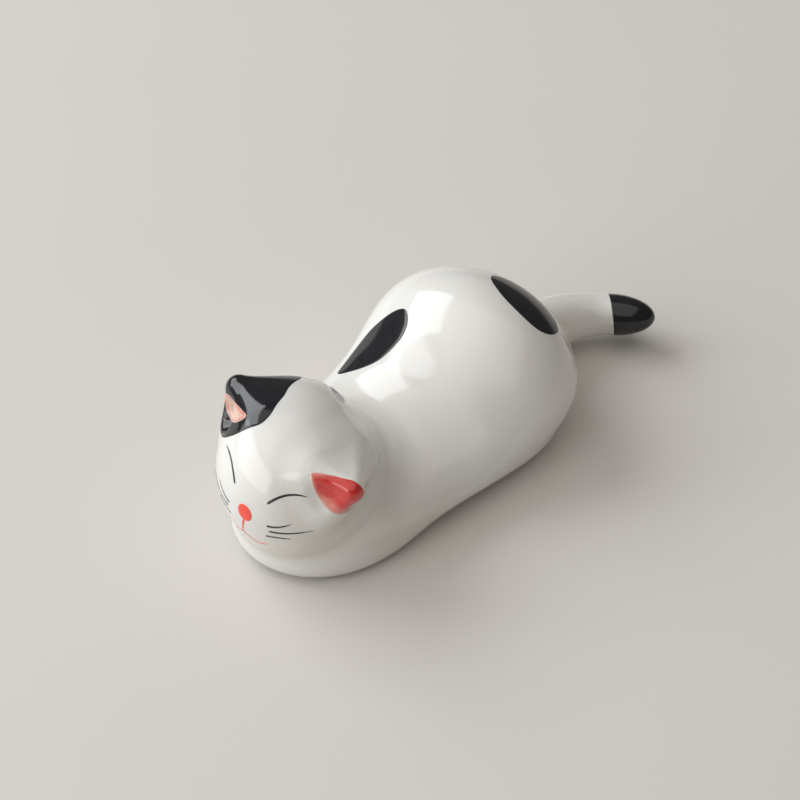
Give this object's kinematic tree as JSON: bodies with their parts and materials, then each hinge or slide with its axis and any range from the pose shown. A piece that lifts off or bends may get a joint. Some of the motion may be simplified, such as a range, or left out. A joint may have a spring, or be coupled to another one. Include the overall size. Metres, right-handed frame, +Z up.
{
  "type": "chopstick rest",
  "caption": "Glazed ceramic chopstick rest in the form of a cat lying on its belly, with a low saddle between head and haunch.",
  "frame": {"origin": "the middle of the flat foot, on the plane that the rest stands on, in the body's middle plane", "axes": "+Z up, -Y towards the face, +Y towards the rump and tail, +X to the cat's left"},
  "size_m": [0.0286, 0.0652, 0.0201],
  "materials": {
    "glaze": "clear gloss glaze over a warm white body",
    "bisque": "unglazed, matte",
    "black_enamel": "gloss black",
    "red_enamel": "gloss red, thin at its edges",
    "pink_enamel": "gloss pale pink"
  },
  "bodies": {
    "root": {"torso": "glaze", "foot": "bisque", "head": "glaze", "left_ear": "glaze", "right_ear": "black_enamel", "tail": "glaze", "tail_tip": "black_enamel", "back_patch": "black_enamel", "rump_patch": "black_enamel", "ear_patch": "black_enamel", "left_ear_inner": "red_enamel", "right_ear_inner": "pink_enamel", "nose": "red_enamel", "mouth": "red_enamel", "left_eye": "black_enamel", "right_eye": "black_enamel", "left_whiskers": "black_enamel", "right_whiskers": "black_enamel"}
  },
  "joints": []
}
